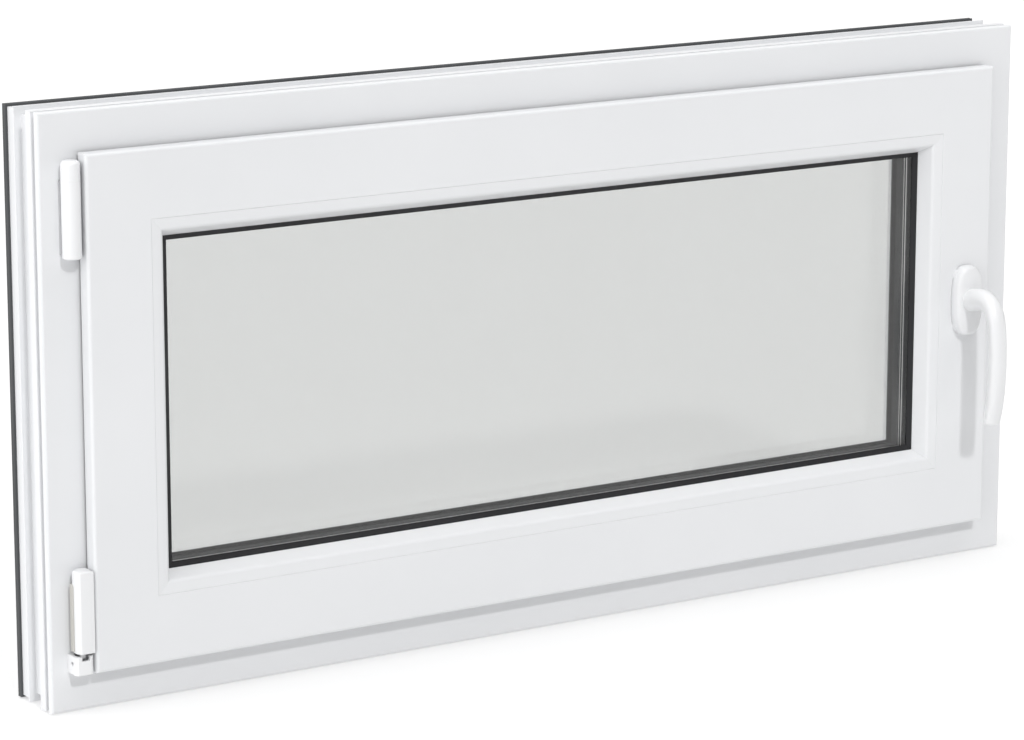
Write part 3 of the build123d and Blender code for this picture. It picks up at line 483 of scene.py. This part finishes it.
inner_gasket = [
    (104, -1.6, 0.2), (109.7, -1.6, 0.3), (111.3, -0.9, 0.5), (113.9, 0.2, 0.3), (114, GLASS_S, 0.2),
    (104, GLASS_S, 0.2),
]
outer_gasket = [
    (102, GLASS_BACK, 0.2), (111.8, GLASS_BACK, 0.2), (112, 38.2, 0.4), (110.2, GLAZING_LIP_S, 0.4),
    (102, GLAZING_LIP_S, 0.2),
]
lip_gasket = [
    (57.5, LIP_S, 0.2), (57.7, 50.6, 0.4), (58.8, 49.2, 0.5), (58.4, 47.9, 0.6), (60.0, 47.3, 0.8),
    (61.9, 48.2, 0.8), (62.5, 50.4, 0.6), (62.4, LIP_S, 0.2),
]
overlap_gasket = [
    (35.2, LIP_BACK, 0.2), (35.0, -2.3, 0.4), (37.4, -0.5, 0.5), (39.6, -0.3, 0.5), (41.3, -1.2, 0.5),
    (41.4, LIP_BACK, 0.2),
]
edge_seal = [
    (0.0, 58.5, 0.7), (0.35, 61.0, 0.4), (0.0, 63.4, 0.7), (0.9, DEPTH, 0.5), (SEAL_IN, DEPTH, 0.1),
    (SEAL_IN, 57.9, 0.2), (0.7, 57.9, 0.5),
]

frame_names = {"sill": "frame_sill", "lock": "frame_lock_jamb", "head": "frame_head",
               "hinge": "frame_hinge_jamb"}
sash_names = {"sill": "sash_sill", "lock": "sash_lock_stile", "head": "sash_head",
              "hinge": "sash_hinge_stile"}
bead_names = {k: "bead_" + k for k in SIDES}


def looks(names):
    return {k: v + "_profile" for k, v in names.items()}


def numbered(stem):
    return {k: stem + "_" + k for k in SIDES}


BEAD_TRIM = 0.03                # a hairline at the beads' mitres, mm
swept_all(looks(frame_names), frame_outline, "frame", PVC, frame_names)
swept_all(looks(sash_names), sash_outline, "sash", PVC, sash_names)
swept_all(looks(bead_names), bead_outline, "sash", BEAD, bead_names, BEAD_TRIM)
for stem, outline, body, finish, slot, node in (
        ("glazing_seal_inner", inner_gasket, "sash", RUBBER, "black_gasket", "glazing_gasket_inner"),
        ("glazing_seal_outer", outer_gasket, "sash", RUBBER, "black_gasket", "glazing_gasket_outer"),
        ("lip_seal", lip_gasket, "frame", RUBBER, "black_gasket", "frame_gasket"),
        ("overlap_seal", overlap_gasket, "sash", RUBBER, "black_gasket", "sash_gasket"),
        ("edge_seal", edge_seal, "frame", SEAL, "grey_seal", "perimeter_seal")):
    swept_all(numbered(stem), outline, body, finish, node)

# ---- glass -----------------------------------------------------------------------------------------
for name in ("glass_inner", "glass_middle", "glass_outer"):
    nodes[name].data.materials.clear()
    nodes[name].data.materials.append(GLASS)
    nodes[name].visible_shadow = False

# Steel foil of the spacer bars, which shows as a light line on each side of the middle pane.
SPACER_HEIGHT = 6.5
SPACER_E = e_of(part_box("spacers")[0].x) + SPACER_HEIGHT
FOIL_IN, FOIL_OUT = SPACER_E - 0.6, SPACER_E + 0.25   # e of its hidden and its visible edge
FOIL_WIDE, FOIL_CLEAR = 1.0, 0.05                     # from the pane to its far and its near edge
pane_front, pane_rear = (s_of(point.y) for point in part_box("glass_middle"))
for number, (s0, s1) in enumerate(((pane_front - FOIL_WIDE, pane_front - FOIL_CLEAR),
                                   (pane_rear + FOIL_CLEAR, pane_rear + FOIL_WIDE))):
    foil = [(FOIL_IN, s0, 0.1), (FOIL_OUT, s0, 0.2), (FOIL_OUT, s1, 0.2), (FOIL_IN, s1, 0.1)]
    swept_all(numbered("spacer_foil_%d" % (number + 1)), foil, "sash", FOIL)

# ---- upper hinge -----------------------------------------------------------------------------------
low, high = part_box("stay_cap")
AX, AY = (low.x + high.x) / 2, (low.y + high.y) / 2
R = (high.x - low.x) / 2
CAP_TOP, CAP_LOW = high.z, low.z
COVER_LOW, COVER_TOP = (point.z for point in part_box("stay_bearing_cover"))
BARREL_PROUD = 0.05 * MM        # the shells stand over the CAD's barrels by this
EYE_REACH = 0.45 * MM           # cap and cover come this near to the middle of the eye's play
TINY_EDGE = 0.02 * MM           # an edge that is all but sharp
AROUND = 72                     # points round a barrel


def circle(radius, z):
    """Points round the turn axis."""
    turns = [2 * math.pi * i / AROUND for i in range(AROUND)]
    return [Vector((AX + radius * math.cos(t), AY + radius * math.sin(t), z)) for t in turns]


def barrel(name, z0, z1, round0, round1):
    """A hinge barrel from z0 to z1, its lower and upper edge rounded by round0 and round1."""
    radius = R + BARREL_PROUD
    rings = []
    steps = 7
    for i in range(steps + 1):
        t = math.pi / 2 * i / steps
        rings.append(circle(radius - round0 * (1 - math.sin(t)), z0 + round0 * (1 - math.cos(t))))
    for i in range(steps + 1):
        t = math.pi / 2 * i / steps
        rings.append(circle(radius - round1 * (1 - math.cos(t)), z1 - round1 * (1 - math.sin(t))))
    obj = lofted(name, rings, HINGE_WHITE)
    obj.data.set_sharp_from_angle(angle=math.radians(40))
    return obj


cap = barrel("stay_cap_dome", CAP_LOW - EYE_REACH, CAP_TOP, TINY_EDGE, 3.4 * MM)
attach(cap, "frame")
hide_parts("stay_cap")
cover = barrel("stay_cover_shell", COVER_LOW, COVER_TOP + EYE_REACH, 1.6 * MM, TINY_EDGE)
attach(cover, "frame")
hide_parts("stay_bearing_cover")

# ---- lower hinge -----------------------------------------------------------------------------------
low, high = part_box("corner_band_cover")
half = (high.x - low.x) / 2
cx = (low.x + high.x) / 2
front_y = low.y
inner = cx - half + 1.5 * MM
# Plans are points (x, y, edge radius); the cover is a squared column, the part behind it a round one.
cover_plan = [
    (inner, AY + 1.0 * MM, 1.0 * MM), (inner, AY - 4.6 * MM, 2.4 * MM),
    (inner + 2.4 * MM, front_y, 1.6 * MM), (cx + half, front_y, 0.5 * MM),
    (cx + half, AY + 4.4 * MM, 3.0 * MM), (cx + 3.4 * MM, AY + 7.2 * MM, 3.0 * MM),
    (cx - 1.5 * MM, AY + 7.2 * MM, 3.0 * MM),
]
band = prism("corner_cover_shell", cover_plan, low.z, high.z, 1.7, HINGE_WHITE, 0.4)
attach(band, "sash")
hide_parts("corner_band_cover")
rear_y = AY + half - 0.1 * MM
knuckle_plan = [
    (cx - half, AY - 1.2 * MM, 1.2 * MM), (cx + 2 * MM, AY - 1.2 * MM, 0.3 * MM),
    (cx + 2 * MM, rear_y, 0.6 * MM), (cx - 3.4 * MM, rear_y, 3.0 * MM),
    (cx - half + 0.3 * MM, AY + 4.4 * MM, 3.0 * MM),
]
knuckle_low, knuckle_top = low.z + 1.0 * MM, high.z - 11.5 * MM
# The rear part of the cover takes the painted-shade finish; its dark tone stands for shade, not for its own
# colour.
knuckle = prism("corner_cover_back", knuckle_plan, knuckle_low, knuckle_top, 1.6, HINGE_PAINTED_SHADE, 0.8)
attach(knuckle, "sash")
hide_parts("corner_band_cover")

# ---- handle ----------------------------------------------------------------------------------------
low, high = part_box("spindle")
HX, HZ = (low.x + high.x) / 2, (low.z + high.z) / 2
low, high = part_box("rosette_cover")
rose_back, rose_front = high.y, low.y
rose_w, rose_h = (high.x - low.x) / 2, (high.z - low.z) / 2
# The rosette's rounded side and gently domed front: inset in mm, share of its thickness.
DOME = ((0, 0), (0, 0.25), (0.15, 0.5), (0.45, 0.66), (0.95, 0.79), (1.75, 0.885), (3.0, 0.945),
        (5.0, 0.975), (8.0, 1.0), (11.0, 1.02), (13.4, 1.035))
rings = []
shape = superellipse(120, 1, 1, 2.75)
for inset, depth in DOME:
    y = rose_back + (rose_front - rose_back) * depth
    ring_w, ring_h = rose_w - inset * MM, rose_h - inset * MM
    rings.append([Vector((HX + a * ring_w, y, HZ + b * ring_h)) for a, b in shape])
rosette = lofted("rosette_shell", rings, ROSETTE)
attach(rosette, "sash")
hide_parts("rosette_cover")

# Stations along the lever: depth s, height from the spindle, half width and half thickness, in mm.
stations = [
    (-27.0, 1.2, 10.2, 10.6), (-31.0, 1.8, 10.0, 10.6), (-36.0, 2.8, 9.8, 10.4), (-42.0, 3.7, 9.6, 10.1),
    (-48.0, 3.6, 9.4, 9.5), (-54.0, 1.6, 9.2, 8.8), (-59.6, -3.2, 9.1, 8.0), (-63.8, -11.5, 9.0, 7.3),
    (-66.4, -24.0, 9.0, 6.8), (-67.7, -40.0, 9.0, 6.5), (-67.9, -58.0, 9.0, 6.5), (-66.9, -76.0, 9.0, 6.4),
    (-64.8, -93.0, 8.9, 6.2), (-62.0, -107.6, 8.6, 5.9),
]


def smooth_line(points, parts):
    """Points on a smooth curve through the given ones, with parts steps between two of them."""
    out = []
    for k in range(len(points) - 1):
        a, b, c, d = (points[max(0, min(len(points) - 1, k + i))] for i in (-1, 0, 1, 2))
        for i in range(parts):
            t = i / parts
            out.append(tuple(
                0.5 * (2 * b[m] + (c[m] - a[m]) * t + (2 * a[m] - 5 * b[m] + 4 * c[m] - d[m]) * t * t
                       + (3 * b[m] - a[m] - 3 * c[m] + d[m]) * t ** 3) for m in range(len(b))))
    out.append(points[-1])
    return out


PARTS = 7
NECK_ROUND = 2 * PARTS          # the section is round up to here, then grows squarer
SQUARER_OVER = 40
ROUND_POWER, GRIP_POWER = 2.0, 2.35
line = smooth_line(stations, PARTS)
rings = []
count = 64
for k, (s, z, a, b) in enumerate(line):
    before, after = line[max(0, k - 1)], line[min(len(line) - 1, k + 1)]
    along = Vector((0, after[0] - before[0], after[1] - before[1])).normalized()
    normal = Vector((0, -along.z, along.y))
    share = min(1.0, max(0.0, (k - NECK_ROUND) / SQUARER_OVER))
    ring = []
    for p, q in superellipse(count, a, b, ROUND_POWER + (GRIP_POWER - ROUND_POWER) * share):
        ring.append(Vector((HX, mm_y(s), HZ + z * MM)) + (Vector((p, 0, 0)) + normal * q) * MM)
    rings.append(ring)
tip = line[-1]
end = Vector((HX, mm_y(tip[0]), HZ + tip[1] * MM))
TIP_R, TIP_STEPS = 2.4, 8       # rounding of the lever's end
for i in range(1, TIP_STEPS + 1):
    t = math.pi / 2 * i / TIP_STEPS
    inset, ahead = TIP_R * (1 - math.cos(t)), TIP_R * math.sin(t)
    ring = []
    for p, q in superellipse(count, tip[2] - inset, tip[3] - inset, GRIP_POWER):
        ring.append(end + along * ahead * MM + (Vector((p, 0, 0)) + normal * q) * MM)
    rings.append(ring)
lever = lofted("handle_lever_body", rings, HANDLE)
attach(lever, "handle")
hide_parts("handle_lever")

# ---- drain covers on the outside of the sill --------------------------------------------------------
# A low hood over a slot that is a black insert, painted shade of the opening; rings of the hood: inset,
# lift, depth from the frame's rear, in mm.
HOOD = ((0.0, 0.0, -2.0), (0.0, 0.0, -0.45), (0.15, 0.0, -0.3), (0.9, 0.5, -0.12), (1.5, 0.9, -0.02),
        (2.4, 1.2, 0.0))
MOUTH_S = (-1.2, -0.10)         # depths of the slot's two ends
MOUTH_UP = 1.7 * MM             # its middle, over the hood's lower edge
MOUTH_IN = 3 * MM               # its ends, in from the hood's
MOUTH_HALF = 0.7 * MM           # half its height
points = [v.co for v in nodes["drain_caps"].data.vertices]
for number, side in enumerate((-1, 1)):
    group = [p for p in points if p.x * side > 0]
    x0, x1 = min(p.x for p in group), max(p.x for p in group)
    z0, z1 = min(p.z for p in group), max(p.z for p in group)
    mid_x, mid_z = (x0 + x1) / 2, (z0 + z1) / 2
    wide, tall = (x1 - x0) / 2, (z1 - z0) / 2
    outline = superellipse(96, 1, 1, 6)
    rings = []
    for inset, lift, s in HOOD:
        rings.append([Vector((mid_x + a * (wide - inset * MM), mm_y(DEPTH + s),
                              mid_z + lift * MM + b * (tall - inset * MM))) for a, b in outline])
    hood = lofted("drain_hood_%d" % (number + 1), rings, CAP)
    mouth_ring = superellipse(48, wide - MOUTH_IN, MOUTH_HALF, 4)
    rings = [[Vector((mid_x + a, mm_y(DEPTH + s), z0 + MOUTH_UP + b)) for a, b in mouth_ring]
             for s in MOUTH_S]
    # The slot is a solid black piece: painted shade of the opening under the hood.
    mouth = lofted("drain_mouth_%d" % (number + 1), rings, SEALANT_AND_SLOT_SHADE)
    for piece, slot in ((hood, "pvc_white"), (mouth, "black_gasket")):
        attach(piece, "frame")
        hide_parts("drain_caps")

# ---- finishes on the frame's own solids ------------------------------------------------------------
FINISHES = (
    (ZINC, ("corner_adjuster", "corner_band", "corner_band_screws", "corner_cross_pin", "corner_drives",
            "corner_pivot", "faceplate_head", "faceplate_lock", "faceplate_sill", "faceplate_screws",
            "lock_bar_head", "lock_bar_lock", "lock_bar_sill", "lock_cams_head", "lock_cams_lock",
            "lock_cams_sill", "rosette_screws", "stay_arm", "stay_bearing", "stay_bearing_screws",
            "stay_pin", "striker_screws", "strikers")),
    (GALVANISED, ("frame_steel", "sash_steel_rails", "sash_steel_stiles")),
    (DARK_STEEL, ("gear_case", "pinion", "spindle")),
    (HINGE_BLOCK, ("corner_bearing",)),
    (ROSETTE, ("rosette_base",)),
    (SEALANT_AND_SLOT_SHADE, ("edge_sealant",)),
    (SPACER, ("spacers",)),
    (BLOCK, ("setting_blocks",)),
)
for finish, names in FINISHES:
    for name in names:
        nodes[name].data.materials.clear()
        nodes[name].data.materials.append(finish)

# The stay arm's eye is powder coated white like the covers: a sleeve over the zinc eye.
EYE_GAP = 0.5 * MM
eye = barrel("stay_eye_sleeve", COVER_TOP + EYE_GAP, CAP_LOW - EYE_GAP, TINY_EDGE, TINY_EDGE)
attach(eye, "stay_arm")

# ---- floor, light, camera --------------------------------------------------------------------------
mesh = bpy.data.meshes.new("floor")
FLOOR_HALF, FLOOR_Z = 120.0, -0.0012
square = ((-1, -1), (1, -1), (1, 1), (-1, 1))
mesh.from_pydata([(x * FLOOR_HALF, y * FLOOR_HALF, FLOOR_Z) for x, y in square], [], [(0, 1, 2, 3)])
floor = bpy.data.objects.new("floor", mesh)
bpy.context.scene.collection.objects.link(floor)
mat, tree, shader = new_material("floor_pale")
coords = tree.nodes.new("ShaderNodeTexCoord")
tone = noise(tree, coords.outputs["Object"], 0.4, 2)
tree.links.new(ramp(tree, tone, (0.44, 0.44, 0.44), (0.46, 0.46, 0.46)), shader.inputs["Base Color"])
shader.inputs["Roughness"].default_value = 0.9
shader.inputs["Specular IOR Level"].default_value = 0.1
shader.inputs["Emission Color"].default_value = (1, 1, 1, 1)
shader.inputs["Emission Strength"].default_value = 0.50
mesh.materials.append(mat)
floor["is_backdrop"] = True

world = bpy.data.worlds.new("studio")
bpy.context.scene.world = world
world.use_nodes = True
tree = world.node_tree
tree.nodes.clear()
coords = tree.nodes.new("ShaderNodeTexCoord")
split = tree.nodes.new("ShaderNodeSeparateXYZ")
tree.links.new(coords.outputs["Generated"], split.inputs["Vector"])


def calc(operation, a, b):
    """A maths node on the world's tree; a and b are numbers or sockets."""
    node = tree.nodes.new("ShaderNodeMath")
    node.operation = operation
    for k, v in enumerate((a, b)):
        if isinstance(v, (int, float)):
            node.inputs[k].default_value = v
        else:
            tree.links.new(v, node.inputs[k])
    return node.outputs[0]


def lobe(facing, power, gain):
    """Light that grows towards one direction of the sky."""
    return calc("MULTIPLY", calc("POWER", calc("MAXIMUM", facing, 0.0), power), gain)


# Soft light from above, from the left and from behind, and a plain white ground for the camera.
BASE_LIGHT, WHITE_GROUND = 0.04, 1.05
above = lobe(split.outputs["Z"], 3.0, 2.0)
leftward = lobe(calc("MULTIPLY", split.outputs["X"], -1.0), 4.0, 2.8)
behind = lobe(split.outputs["Y"], 2.0, 0.9)
soft = calc("ADD", calc("ADD", calc("ADD", above, leftward), behind), BASE_LIGHT)
paths = tree.nodes.new("ShaderNodeLightPath")
seen = calc("MULTIPLY", paths.outputs["Is Camera Ray"], calc("SUBTRACT", WHITE_GROUND, soft))
strength = calc("ADD", soft, seen)
background = tree.nodes.new("ShaderNodeBackground")
background.inputs["Color"].default_value = (1.0, 1.0, 1.0, 1)
tree.links.new(strength, background.inputs["Strength"])
output = tree.nodes.new("ShaderNodeOutputWorld")
tree.links.new(background.outputs["Background"], output.inputs["Surface"])


def sun(name, azimuth, elevation, energy, angle):
    """Azimuth 0 shines from the front and a positive one from the right; angles in degrees."""
    light = bpy.data.lights.new(name, "SUN")
    light.energy = energy
    light.angle = math.radians(angle)
    obj = bpy.data.objects.new(name, light)
    bpy.context.scene.collection.objects.link(obj)
    a, e = math.radians(azimuth), math.radians(elevation)
    source = Vector((math.sin(a) * math.cos(e), -math.cos(a) * math.cos(e), math.sin(e)))
    obj.rotation_mode = "QUATERNION"
    obj.rotation_quaternion = source.to_track_quat("Z", "Y")


sun("key", azimuth=-10, elevation=40, energy=1.06, angle=5)

# The camera stands to the left of the window, a little above it, with a long lens.
CAMERA_AT = (-1.8518, -2.8369, 0.978)
CAMERA_TURN = (77.522, -0.011, -32.554)       # XYZ, degrees
LENS, SENSOR = 138.58, 36.0                   # mm
camera_data = bpy.data.cameras.new("camera")
camera_data.lens = LENS
camera_data.sensor_width = SENSOR
camera_data.clip_end = 200
camera = bpy.data.objects.new("camera", camera_data)
bpy.context.scene.collection.objects.link(camera)
camera.location = CAMERA_AT
camera.rotation_euler = [math.radians(angle) for angle in CAMERA_TURN]
bpy.context.scene.camera = camera
bpy.context.scene.view_settings.view_transform = "Standard"
bpy.context.scene.view_settings.look = "None"

low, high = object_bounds()
